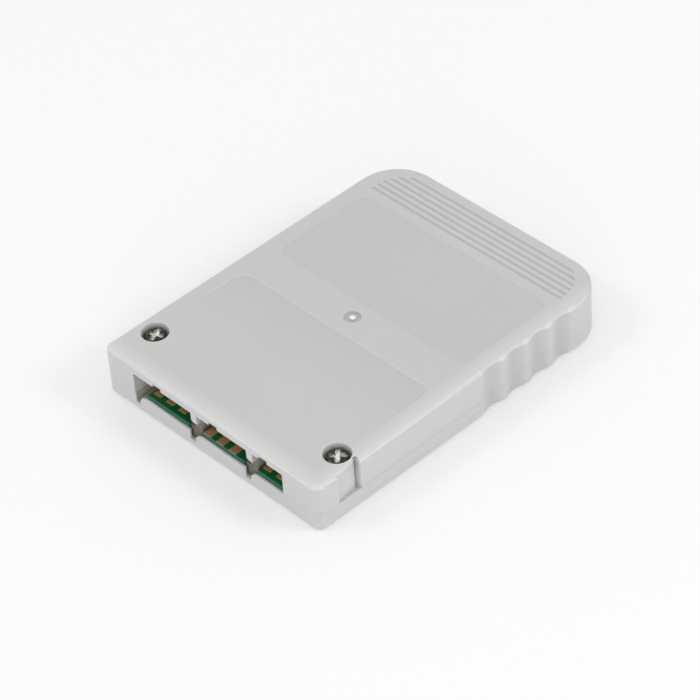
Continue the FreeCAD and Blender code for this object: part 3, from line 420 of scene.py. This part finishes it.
def shell_plastic():
    """Pale moulded plastic with a fine grain and a slightly uneven tone, with painted shade in the scallops'
    hollows, on the latch notch's wall, in the grip grooves, on the sunk panels and on the ribs in the
    connector bay, and painted light on the +X and -Y rims of the upper face, on the panel steps, on the gate
    stub and on the walls of the bay.
    """
    look = settings().card_shell
    finish = Finish("moulded_plastic")
    spread = 0.025
    tone = finish.noise(14 * MM, detail=3.0)
    grain = finish.noise(look.grain, detail=3.0)
    pale = [min(1.0, channel * (1 + spread)) for channel in look.colour]
    dull = [channel * (1 - spread) for channel in look.colour]
    place = finish.place()
    x, y, z = (place.out(axis) for axis in "XYZ")
    # Painted light and shade in the connector bay: a paler tone on its walls, and a dark tone on the ribs
    # and between them that is lighter on faces turned to +X
    painted_bay_mask = (y.above(look.bay_front) * (look.bay_rear - y).above(0.0) * (look.bay_top - z).above(0.0)
              * (look.bay_side - x.absolute()).above(0.0) * z.above(look.bay_floor))
    facing = finish.node("ShaderNodeSeparateXYZ", {}, {
        "Vector": finish.node("ShaderNodeNewGeometry").out("True Normal")})
    at_rib = (look.rib_side - x.absolute()).above(0.0)
    rib = finish.blend(facing.out("X").above(0.5), look.rib_front_painted_shade, look.rib_side_painted_shade)
    bay = finish.blend(at_rib, look.bay_painted_light, rib)
    half_width, half_length = CAD_BOX[1][0], CAD_BOX[1][1]
    # Painted highlight towards the +X and -Y rims of the upper face
    to_rim = (half_width - x).smaller(half_length + y)
    rim = (1.0 - to_rim * (1.0 / look.highlight_rim_width)).larger(0.0) * z.above(TOP - look.chamfer)
    inside = ((half_width - x.absolute()).smaller(half_length - y.absolute())).above(2 * look.chamfer)
    in_top = z.above(TOP - look.panel_depth) * inside
    # Painted shade in the grip grooves
    groove = in_top * (TOP - look.edge - z).above(0.0) * y.above(look.groove_front)
    # Painted shade on the sunk panels, darker where they are sunk deeper
    panel = (TOP - z).smaller(look.step_depth) * (1.0 / look.step_depth) * in_top
    panel = panel * (look.panel_rear - y).above(0.0) * (look.panel_side - x.absolute()).above(0.0)
    # Painted light on the steps around the panels
    least_sunk = 0.01
    line = panel.above(least_sunk) * (look.line_tilt - facing.out("Z")).above(0.0)
    # Painted highlight: the gate stub is painted white
    from_gate = x * x + (y - look.gate_place) * (y - look.gate_place)
    gate = (look.gate_highlight_radius ** 2 - from_gate).above(0.0) * z.above(TOP - look.roof)
    # Painted shade in the hollows of the scallops, darkest at their middles
    turns = (y - look.scallop_first) * (2 * math.pi / look.scallop_pitch)
    on_side = x.above(half_width - SKIN)
    scallop_shade_mask = ((1.0 - turns.cosine()) * 0.5 * y.above(look.scallop_first) * (look.scallop_last - y).above(0.0)
              * on_side * (TOP - look.chamfer - z).above(0.0))
    # Painted shade on the steep wall of the latch notch, darkest where it is deepest
    latch = ((half_width - x) * (1.0 / look.notch_depth) * on_side
             * y.above(look.latch_front) * (look.notch_rear - y).above(0.0) * z.above(look.joint))
    plain = finish.blend(rim * look.rim_painted_highlight + line * look.step_painted_light,
                         finish.blend(tone, dull, pale), (1.0, 1.0, 1.0))
    shade = (scallop_shade_mask * look.hollow_painted_shade + latch * look.latch_painted_shade + groove * look.groove_painted_shade
             + panel * look.panel_painted_shade)
    shaded = finish.blend(gate, finish.blend(shade, plain, (0.0, 0.0, 0.0)), (1.0, 1.0, 1.0))
    return finish.surface({
        "Base Color": finish.blend(painted_bay_mask, shaded, bay),
        "Roughness": look.roughness + (grain - 0.5) * 0.12,
        "Normal": finish.bump(grain, depth=0.004 * MM),
        "IOR": 1.47,
        "Subsurface Weight": 0.3,
        "Subsurface Radius": (1.0, 0.88, 0.75),
        "Subsurface Scale": 1.2 * MM,
    })


def board_laminate():
    """Green solder mask, and the paler cut laminate where the board's edge shows."""
    look = settings().card_board
    finish = Finish("board_laminate")
    up = finish.node("ShaderNodeSeparateXYZ", {}, {
        "Vector": finish.node("ShaderNodeNewGeometry").out("Normal")}).out("Z")
    flat = up.absolute().above(0.5)
    weave = finish.noise(0.5 * MM, detail=2.0)
    light = [channel * 1.5 for channel in look.mask]
    mask = finish.blend(weave, look.mask, light)
    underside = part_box("circuit_board")[0].z
    height = finish.place().out("Z")
    # The cut edge, paler along its bottom
    cut_edge = finish.blend(height.above(underside + look.low_edge_band_height), look.low_edge_band, look.laminate)
    return finish.surface({
        "Base Color": finish.blend(flat, cut_edge, mask),
        "Roughness": 0.62 - flat * 0.34,
        "Normal": finish.bump(weave, depth=0.006 * MM),
    })


def contact_plating():
    """Worn gold over copper, with a brighter rim."""
    look = settings().card_board
    finish = Finish("contact_plating")
    rim = finish.node("ShaderNodeAttribute", {"attribute_name": "trim"}).out("Fac")
    wear = finish.noise(0.5 * MM, detail=3.0)
    dark = [channel * 0.75 for channel in look.copper]
    body = finish.blend(wear, dark, look.copper)
    return finish.surface({
        "Base Color": finish.blend(rim, body, look.rim),
        "Roughness": 0.36 + wear * 0.16,
        "Metallic": 0.3,
        "Normal": finish.bump(wear, depth=0.004 * MM),
    })


def chip_resin():
    finish = Finish("chip_resin")
    grain = finish.noise(0.12 * MM, detail=3.0)
    return finish.surface({
        "Base Color": finish.blend(grain, (0.018, 0.018, 0.019), (0.04, 0.04, 0.042)),
        "Roughness": 0.5 + grain * 0.2,
        "Normal": finish.bump(grain, depth=0.006 * MM),
    })


def tinned_metal():
    finish = Finish("tinned_metal")
    streak = finish.noise(0.3 * MM, detail=3.0)
    return finish.surface({
        "Base Color": finish.blend(streak, (0.5, 0.5, 0.49), (0.7, 0.7, 0.69)),
        "Roughness": 0.28 + streak * 0.2,
        "Metallic": 1.0,
    })


def fired_ceramic(name, colour):
    """A small ceramic block whose soldered ends are tinned."""
    finish = Finish(name)
    tin = finish.node("ShaderNodeAttribute", {"attribute_name": "trim"}).out("Fac")
    mottle = finish.noise(0.2 * MM, detail=2.0)
    dark = [channel * 0.85 for channel in colour]
    return finish.surface({
        "Base Color": finish.blend(tin, finish.blend(mottle, dark, colour), (0.62, 0.62, 0.6)),
        "Metallic": tin,
        "Roughness": 0.5 - tin * 0.2,
    })


def nickel_plate():
    look = settings().card_screw
    finish = Finish("nickel_plate")
    streak = finish.noise(0.25 * MM, detail=3.0)
    dull = [channel * 0.88 for channel in look.head_painted_reflection]
    # Painted reflections: the head is painted dark and the cross recess bright, with painted glints of two
    # strengths mixed by noise
    in_cross = finish.node("ShaderNodeAttribute", {"attribute_name": "trim"}).out("Fac")
    dim_glint = [channel * 0.75 for channel in look.bright]
    dim_glint_share = 0.45
    glint = finish.blend(finish.noise(0.5 * MM, detail=1.0).above(dim_glint_share), dim_glint, look.bright)
    return finish.surface({
        "Base Color": finish.blend(in_cross, finish.blend(streak, dull, look.head_painted_reflection), glint),
        "Roughness": 0.1 + streak * 0.1,
        "Metallic": 1.0,
        "Normal": finish.bump(streak, depth=0.05 * MM),
    })


# Mesh tools

def new_piece(name, mesh):
    piece = bpy.data.objects.new(name, mesh)
    bpy.context.scene.collection.objects.link(piece)
    return piece


def finished(piece):
    """Turn the piece's modifiers into plain mesh."""
    bpy.context.view_layer.update()
    graph = bpy.context.evaluated_depsgraph_get()
    mesh = bpy.data.meshes.new_from_object(piece.evaluated_get(graph))
    piece.modifiers.clear()
    old = piece.data
    piece.data = mesh
    bpy.data.meshes.remove(old)


def dress(piece, material):
    """Give a new piece or a CAD node its material."""
    piece.data.materials.clear()
    piece.data.materials.append(material)


def settle(piece, material, slot, *nodes):
    """Give the piece its material and its place on the card."""
    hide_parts(*nodes)
    dress(piece, material)
    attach(piece, BODY)


def merged_copy(node):
    """A copy of a node's mesh with its loose triangles joined and its flat faces made whole."""
    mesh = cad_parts[node].data.copy()
    work = bmesh.new()
    work.from_mesh(mesh)
    bmesh.ops.remove_doubles(work, verts=work.verts, dist=0.0002 * MM)
    bmesh.ops.dissolve_limit(work, angle_limit=FLAT, verts=work.verts, edges=work.edges)
    work.to_mesh(mesh)
    work.free()
    return mesh


def add_box(work, low, high, trim_layer=None, trim=0.0):
    """A box from its low to its high corner, with one value of the trim attribute."""
    made = bmesh.ops.create_cube(work, size=1.0)
    centre = (Vector(low) + Vector(high)) / 2
    extent = Vector(high) - Vector(low)
    for vert in made["verts"]:
        vert.co = Vector(a * b for a, b in zip(vert.co, extent)) + centre
        if trim_layer:
            vert[trim_layer] = trim


def bevelled(piece, width):
    """Round the piece's edges."""
    bevel = piece.modifiers.new("edges", "BEVEL")
    bevel.width = width
    bevel.segments = 2
    bevel.limit_method = "ANGLE"
    bevel.angle_limit = math.radians(30)
    bevel.harden_normals = True


# Repeated pieces

def repeat_tree():
    """Geometry nodes that repeat a piece along a straight line."""
    found = bpy.data.node_groups.get("Repeat along a line")
    if found:
        return found
    tree = bpy.data.node_groups.new("Repeat along a line", "GeometryNodeTree")
    tree.is_modifier = True
    for name, kind in (("Geometry", "Geometry"), ("Count", "Int"), ("Start", "Vector"),
                       ("Step", "Vector"), ("Material", "Material")):
        tree.interface.new_socket(name=name, in_out="INPUT", socket_type="NodeSocket" + kind)
    tree.interface.new_socket(name="Geometry", in_out="OUTPUT", socket_type="NodeSocketGeometry")
    nodes = tree.nodes
    source = nodes.new("NodeGroupInput")
    line = nodes.new("GeometryNodeMeshLine")
    line.mode = "OFFSET"
    copies = nodes.new("GeometryNodeInstanceOnPoints")
    real = nodes.new("GeometryNodeRealizeInstances")
    paint = nodes.new("GeometryNodeSetMaterial")
    result = nodes.new("NodeGroupOutput")
    for start, end in (
        (source.outputs["Count"], line.inputs["Count"]),
        (source.outputs["Start"], line.inputs["Start Location"]),
        (source.outputs["Step"], line.inputs["Offset"]),
        (line.outputs["Mesh"], copies.inputs["Points"]),
        (source.outputs["Geometry"], copies.inputs["Instance"]),
        (copies.outputs["Instances"], real.inputs["Geometry"]),
        (real.outputs["Geometry"], paint.inputs["Geometry"]),
        (source.outputs["Material"], paint.inputs["Material"]),
        (paint.outputs["Geometry"], result.inputs["Geometry"]),
    ):
        tree.links.new(start, end)
    return tree


def repeated(piece, count, start, step, material):
    """Repeat the piece from one place on, and make the row a plain mesh."""
    tree = repeat_tree()
    row = piece.modifiers.new("row", "NODES")
    row.node_group = tree
    values = {"Count": count, "Start": start, "Step": step, "Material": material}
    for item in tree.interface.items_tree:
        if item.in_out == "INPUT" and item.name in values:
            row[item.identifier] = values[item.name]
    finished(piece)


def centre_of(node):
    low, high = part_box(node)
    return (low + high) / 2


# Pieces

class CARD_OT_shells(bpy.types.Operator):
    """Moulded shells with finely rounded edges"""
    bl_idname = "card.shells"
    bl_label = "Shells"

    def execute(self, context):
        look = context.scene.card_shell
        plastic = shell_plastic()
        for node in ("upper_shell", "lower_shell"):
            piece = new_piece(node + "_moulding", merged_copy(node))
            self.straighten_far_side(piece.data, look)
            if node == "upper_shell":
                self.soften_panels(piece.data, look)
                self.widen_ribs(piece.data, look)
            self.weigh_edges(piece.data, look)
            for layer, width in ((WIDE, look.wide_edge), (FINE, look.edge)):
                bevel = piece.modifiers.new(layer, "BEVEL")
                bevel.edge_weight = layer
                bevel.width = width
                bevel.segments = 3
                bevel.limit_method = "WEIGHT"
            even = piece.modifiers.new("normals", "WEIGHTED_NORMAL")
            even.keep_sharp = True
            finished(piece)
            settle(piece, plastic, "shell_plastic", node)
        return {"FINISHED"}

    def straighten_far_side(self, mesh, look):
        """Make the long side towards -X plain, without scallops and latch notch."""
        work = bmesh.new()
        work.from_mesh(mesh)
        side = CAD_BOX[0][0]

        def on_side(vert):
            in_range = look.notch_front < vert.co.y < look.scallop_last + look.chamfer
            return in_range and vert.co.x < side + look.far_skin

        faces = [face for face in work.faces if all(on_side(vert) for vert in face.verts)]
        rims = {item for face in faces for item in list(face.edges) + list(face.verts)}
        bmesh.ops.bisect_plane(work, geom=faces + list(rims), dist=NEAR,
                               plane_co=(0, 0, TOP - look.chamfer), plane_no=(0, 0, 1))
        for vert in filter(on_side, work.verts):
            over = max(0.0, vert.co.z - (TOP - look.chamfer))
            under = max(0.0, look.base_chamfer - vert.co.z)
            vert.co.x = side + over + under
        bmesh.ops.remove_doubles(work, verts=work.verts, dist=NEAR)
        empty = [face for face in work.faces if face.calc_area() < NEAR * NEAR]
        longest = {max(face.edges, key=lambda edge: edge.calc_length()) for face in empty}
        bmesh.ops.dissolve_edges(work, edges=list(longest), use_verts=False)
        bmesh.ops.dissolve_limit(work, angle_limit=FLAT, verts=work.verts, edges=work.edges)
        work.to_mesh(mesh)
        work.free()

    def soften_panels(self, mesh, look):
        """Slant the small steps around the two shallow panels, so that they show as faintly as they do."""
        work = bmesh.new()
        work.from_mesh(mesh)
        for vert in work.verts:
            sunk = NEAR < TOP - vert.co.z < look.panel_depth and abs(vert.co.x) < look.panel_side
            in_wedge = look.wedge_front < vert.co.y < look.wedge_rear
            in_rear_panel = look.panel_front < vert.co.y < look.panel_rear
            if not sunk or not (in_wedge or in_rear_panel):
                continue
            middle = (look.panel_front + look.panel_rear) / 2
            share = (TOP - vert.co.z) / look.step_depth
            vert.co.x -= math.copysign(look.slant * share, vert.co.x)
            vert.co.y += look.slant * share * (1 if in_rear_panel and vert.co.y < middle else -1)
        work.to_mesh(mesh)
        work.free()

    def widen_ribs(self, mesh, look):
        """Fill the gap between two sills with the foot of the rib behind it."""
        work = bmesh.new()
        work.from_mesh(mesh)
        for right in (look.foot_one, look.foot_two):
            add_box(work, (right - look.foot_width, look.foot_front, look.foot_bottom),
                    (right, look.foot_rear, look.foot_top))
        work.to_mesh(mesh)
        work.free()

    def weigh_edges(self, mesh, look):
        """Set each edge's share of the bevel, and keep the edges without one sharp."""
        work = bmesh.new()
        work.from_mesh(mesh)
        wide = work.edges.layers.float.new(WIDE)
        fine = work.edges.layers.float.new(FINE)
        for face in work.faces:
            face.smooth = True
        for edge in work.edges:
            if len(edge.link_faces) != 2 or edge.calc_face_angle() < SHARP:
                continue
            if self.on_rim(edge, look):
                continue
            if self.is_wide(edge, look):
                edge[wide] = 1.0
                continue
            edge[fine] = self.rounding(edge, look) / look.edge
            in_panel = min(vert.co.z for vert in edge.verts) > TOP - look.panel_depth
            edge.smooth = edge[fine] > 0 or in_panel
        work.to_mesh(mesh)
        work.free()

    def is_wide(self, edge, look):
        """Whether the edge borders a screw's recess in the upper face."""
        if any(abs(vert.co.z - TOP) > NEAR for vert in edge.verts):
            return False
        screws = [centre_of(node).xy for node in ("screw_left", "screw_right")]
        return any(all(abs((vert.co.xy - screw).length - look.recess) < 10 * NEAR for vert in edge.verts)
                   for screw in screws)

    def on_rim(self, edge, look):
        """Whether the edge borders the chamfer of an outer rim, which is only shaded round."""
        rims = [(TOP - look.chamfer, TOP), (0.0, look.base_chamfer)]
        spans = [[vert.co.z for vert in face.verts] for face in edge.link_faces]
        return any(abs(min(span) - low) < NEAR and abs(max(span) - high) < NEAR
                   for span in spans for low, high in rims)

    def rounding(self, edge, look):
        """How far one edge is rounded."""
        heights = [vert.co.z for vert in edge.verts]
        if all(abs(height - look.joint) < NEAR for height in heights):
            return 0.0
        if min(heights) > TOP - look.panel_depth:
            upright = 0.1
            steep = any(abs(face.normal.z) < upright for face in edge.link_faces)
            return 0.0 if steep else look.soft_edge
        if min(vert.co.y for vert in edge.verts) > HIDDEN_FROM and max(heights) < TOP - look.roof:
            return 0.0
        return look.edge


class CARD_OT_board(bpy.types.Operator):
    """Circuit board"""
    bl_idname = "card.board"
    bl_label = "Board"

    def execute(self, context):
        dress(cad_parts["circuit_board"], board_laminate())
        return {"FINISHED"}


class CARD_OT_contacts(bpy.types.Operator):
    """Edge contacts with a bright rim"""
    bl_idname = "card.contacts"
    bl_label = "Contacts"

    def execute(self, context):
        plating = contact_plating()
        groups = {"contacts_left": (1, 2, 3), "contacts_middle": (4, 5, 6), "contacts_right": (7, 8)}
        for name, numbers in groups.items():
            nodes = ["contact_%d" % number for number in numbers]
            low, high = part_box(nodes[0])
            middle = (low + high) / 2
            half = (high - low) / 2
            work = bmesh.new()
            trim = work.verts.layers.float.new("trim")
            inset = 0.11 * MM
            add_box(work, -half, half, trim, 1.0)
            face = max(work.faces, key=lambda item: item.calc_center_median().z)
            bmesh.ops.inset_region(work, faces=[face], thickness=inset)
            for vert in face.verts:
                vert[trim] = 0.0
            mesh = bpy.data.meshes.new(name)
            work.to_mesh(mesh)
            work.free()
            piece = new_piece(name, mesh)
            step = centre_of(nodes[1]) - centre_of(nodes[0])
            repeated(piece, len(nodes), middle, step, plating)
            settle(piece, plating, "contact_plating", *nodes)
        return {"FINISHED"}


class CARD_OT_components(bpy.types.Operator):
    """Chips, leads and the small parts on the board"""
    bl_idname = "card.components"
    bl_label = "Components"

    def execute(self, context):
        resin = chip_resin()
        tin = tinned_metal()
        for node in ("controller_chip", "memory_chip", "reset_chip", "diode"):
            dress(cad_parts[node], resin)
        for node in ("controller_leads", "memory_leads"):
            dress(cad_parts[node], tin)
        kinds = {
            "capacitor": (fired_ceramic("capacitor_ceramic", (0.42, 0.3, 0.18)), "capacitor_ceramic"),
            "resistor": (fired_ceramic("resistor_ceramic", (0.03, 0.03, 0.032)), "chip_resin"),
        }
        for kind, (material, slot) in kinds.items():
            nodes = ["%s_%d" % (kind, number) for number in range(1, 5)]
            low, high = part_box(nodes[0])
            middle = (low + high) / 2
            half = (high - low) / 2
            end = 0.35 * MM
            end_height = 0.05 * MM
            work = bmesh.new()
            trim = work.verts.layers.float.new("trim")
            body = half - Vector((end_height, 0.0, end_height))
            add_box(work, (-body.x, end - half.y, -body.z), (body.x, half.y - end, body.z), trim, 0.0)
            add_box(work, (-half.x, -half.y, -half.z), (half.x, end - half.y, half.z), trim, 1.0)
            add_box(work, (-half.x, half.y - end, -half.z), (half.x, half.y, half.z), trim, 1.0)
            mesh = bpy.data.meshes.new(kind + "s")
            work.to_mesh(mesh)
            work.free()
            piece = new_piece(kind + "s", mesh)
            bevelled(piece, width=0.06 * MM)
            finished(piece)
            step = centre_of(nodes[1]) - centre_of(nodes[0])
            repeated(piece, len(nodes), middle, step, material)
            settle(piece, material, slot, *nodes)
        ceramic = fired_ceramic("resonator_ceramic", (0.5, 0.34, 0.12))
        dress(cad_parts["resonator"], ceramic)
        return {"FINISHED"}


def lathe(work, profile, steps):
    """Turn a profile of (radius, height) points about the Z axis."""
    verts = [work.verts.new((radius, 0.0, height)) for radius, height in profile]
    edges = [work.edges.new(pair) for pair in zip(verts, verts[1:])]
    bmesh.ops.spin(work, geom=verts + edges, cent=(0, 0, 0), axis=(0, 0, 1),
                   angle=2 * math.pi, steps=steps, use_duplicate=False)
    bmesh.ops.remove_doubles(work, verts=work.verts, dist=0.0005 * MM)
    bmesh.ops.recalc_face_normals(work, faces=work.faces)


def cross_cutter(look, top):
    """The tapered cross that a driver fits."""
    work = bmesh.new()
    above = 0.2 * MM
    for turn in (0.0, math.pi / 2):
        made = bmesh.ops.create_cube(work, size=1.0)
        for vert in made["verts"]:
            deep = vert.co.z < 0
            along = look.cross_foot if deep else look.cross_length
            across = look.cross_foot_width if deep else look.cross_width
            up = -look.cross_depth if deep else above
            vert.co = Vector((vert.co.x * along, vert.co.y * across, top + up))
        bmesh.ops.rotate(work, verts=made["verts"], cent=(0, 0, 0), matrix=Matrix.Rotation(turn, 3, "Z"))
    mesh = bpy.data.meshes.new("cross")
    work.to_mesh(mesh)
    work.free()
    return new_piece("cross", mesh)


class CARD_OT_screws(bpy.types.Operator):
    """Pan head screws with a cross recess"""
    bl_idname = "card.screws"
    bl_label = "Screws"

    def execute(self, context):
        look = context.scene.card_screw
        both = bmesh.new()
        turns = {"screw_left": look.turn_left, "screw_right": look.turn_right}
        for node, turn in turns.items():
            both.from_mesh(self.one_screw(look, node, turn))
        mesh = bpy.data.meshes.new("screws")
        both.to_mesh(mesh)
        both.free()
        piece = new_piece("screws", mesh)
        settle(piece, nickel_plate(), "screw_nickel", *turns)
        return {"FINISHED"}

    def one_screw(self, look, node, turn):
        """The mesh of one screw, at its place, with its cross turned."""
        low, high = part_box(node)
        centre = centre_of(node)
        head = (high.x - low.x) / 2 - look.head_play
        top = high.z - look.sunk
        seat = high.z - look.head_height
        side = seat + look.head_side
        crown = [(head, side)]
        bends = 10
        fullness = 0.8
        for number in range(1, bends):
            angle = number / bends * math.pi / 2
            crown.append((head * math.cos(angle), side + (top - side) * math.sin(angle) ** fullness))
        crown.append((0.0, top))
        profile = [(0.0, low.z), (look.shank, low.z + look.tip), (look.shank, seat),
                   (head - look.burr, seat), (head, seat + look.burr)] + crown
        work = bmesh.new()
        lathe(work, profile, steps=64)
        mesh = bpy.data.meshes.new(node)
        work.to_mesh(mesh)
        work.free()
        piece = new_piece(node + "_turned", mesh)
        cutter = cross_cutter(look, top)
        cut = piece.modifiers.new("cross", "BOOLEAN")
        cut.operation = "DIFFERENCE"
        cut.solver = "EXACT"
        cut.use_self = True
        cut.object = cutter
        bevelled(piece, look.cross_edge)
        finished(piece)
        bpy.data.objects.remove(cutter)
        mesh = piece.data
        trim = mesh.attributes.new("trim", "FLOAT", "POINT")
        for vert, mark in zip(mesh.vertices, trim.data):
            reach = vert.co.xy.length
            outer, inner = next((pair for pair in zip(crown, crown[1:]) if pair[1][0] <= reach), crown[:2])
            share = (outer[0] - reach) / (outer[0] - inner[0])
            surface = outer[1] + (inner[1] - outer[1]) * share
            in_cross = seat < vert.co.z < surface - look.cross_edge and reach < head - look.cross_edge
            mark.value = 1.0 if in_cross else 0.0
        mesh.transform(Matrix.Translation((centre.x, centre.y, 0.0)) @ Matrix.Rotation(turn, 4, "Z"))
        mesh.set_sharp_from_angle(angle=math.radians(50))
        bpy.data.objects.remove(piece)
        return mesh


class CARD_OT_stage(bpy.types.Operator):
    """Pale floor, soft lamps and the camera"""
    bl_idname = "card.stage"
    bl_label = "Stage"

    def execute(self, context):
        scene = context.scene
        look = scene.card_stage
        scene.view_settings.view_transform = "Standard"
        self.add_floor(look)
        self.add_world(scene, look.surround)
        self.add_lamp("key", place=(0.48, 0.3, 0.42), size=0.2, power=0.85)
        self.add_lamp("front", place=(-0.3, -0.4, 0.52), size=0.2, power=0.55)
        self.add_lamp("fill", place=(0.26, -0.3, 0.1), size=0.2, power=0.22)
        camera_data = bpy.data.cameras.new("camera")
        camera_data.lens = look.lens
        camera_data.clip_start = 0.01
        camera = bpy.data.objects.new("camera", camera_data)
        scene.collection.objects.link(camera)
        turn = (Matrix.Rotation(look.azimuth, 4, "Z")
                @ Matrix.Rotation(math.pi / 2 - look.elevation, 4, "X")
                @ Matrix.Rotation(look.roll, 4, "Z"))
        camera.matrix_world = Matrix.Translation(look.place) @ turn
        scene.camera = camera
        return {"FINISHED"}

    def add_floor(self, look):
        finish = Finish("floor")
        mesh = bpy.data.meshes.new("floor")
        reach = 3.0
        mesh.from_pydata([(-reach, -reach, 0), (reach, -reach, 0), (reach, reach, 0), (-reach, reach, 0)],
                         [], [(0, 1, 2, 3)])
        floor = new_piece("floor", mesh)
        rays = finish.node("ShaderNodeLightPath")
        seen = rays.out("Is Camera Ray") + rays.out("Is Glossy Ray") + rays.out("Is Transmission Ray")
        lit = finish.node("ShaderNodeBsdfDiffuse", {}, {"Color": (*look.floor, 1.0)})
        glow = finish.node("ShaderNodeEmission", {}, {"Color": (*look.glow, 1.0)})
        mixed = finish.node("ShaderNodeMixShader", {}, {0: seen * look.lift, 1: lit, 2: glow})
        finish.node("ShaderNodeOutputMaterial", {}, {"Surface": mixed})
        mesh.materials.append(finish.material)

    def add_world(self, scene, strength):
        world = bpy.data.worlds.new("surround")
        world.use_nodes = True
        background = world.node_tree.nodes["Background"]
        background.inputs["Color"].default_value = (1.0, 1.0, 1.0, 1.0)
        background.inputs["Strength"].default_value = strength
        scene.world = world

    def add_lamp(self, name, place, size, power):
        data = bpy.data.lights.new(name, "AREA")
        data.size = size
        data.energy = power
        lamp = bpy.data.objects.new(name, data)
        bpy.context.scene.collection.objects.link(lamp)
        lamp.location = place
        lamp.rotation_euler = (-Vector(place)).to_track_quat("-Z", "Y").to_euler()


class CARD_PT_looks(bpy.types.Panel):
    bl_label = "Memory card"
    bl_space_type = "VIEW_3D"
    bl_region_type = "UI"
    bl_category = "Card"

    def draw(self, context):
        for step in STEPS:
            self.layout.operator(step.bl_idname)
        for group in ("card_shell", "card_board", "card_screw", "card_stage"):
            values = getattr(context.scene, group)
            for name in values.bl_rna.properties.keys():
                if name not in ("rna_type", "name"):
                    self.layout.prop(values, name)


STEPS = (CARD_OT_shells, CARD_OT_board, CARD_OT_contacts, CARD_OT_components, CARD_OT_screws,
         CARD_OT_stage)
GROUPS = {"card_shell": ShellSettings, "card_board": BoardSettings, "card_screw": ScrewSettings,
          "card_stage": StageSettings}


def register():
    for group in GROUPS.values():
        bpy.utils.register_class(group)
    for item in STEPS + (CARD_PT_looks,):
        bpy.utils.register_class(item)
    for name, group in GROUPS.items():
        setattr(bpy.types.Scene, name, PointerProperty(type=group))


def unregister():
    for name in GROUPS:
        delattr(bpy.types.Scene, name)
    for item in STEPS + (CARD_PT_looks,):
        bpy.utils.unregister_class(item)
    for group in GROUPS.values():
        bpy.utils.unregister_class(group)


def main():
    register()
    bpy.ops.card.shells()
    bpy.ops.card.board()
    bpy.ops.card.contacts()
    bpy.ops.card.components()
    bpy.ops.card.screws()
    bpy.ops.card.stage()


if __name__ == "__main__":
    main()
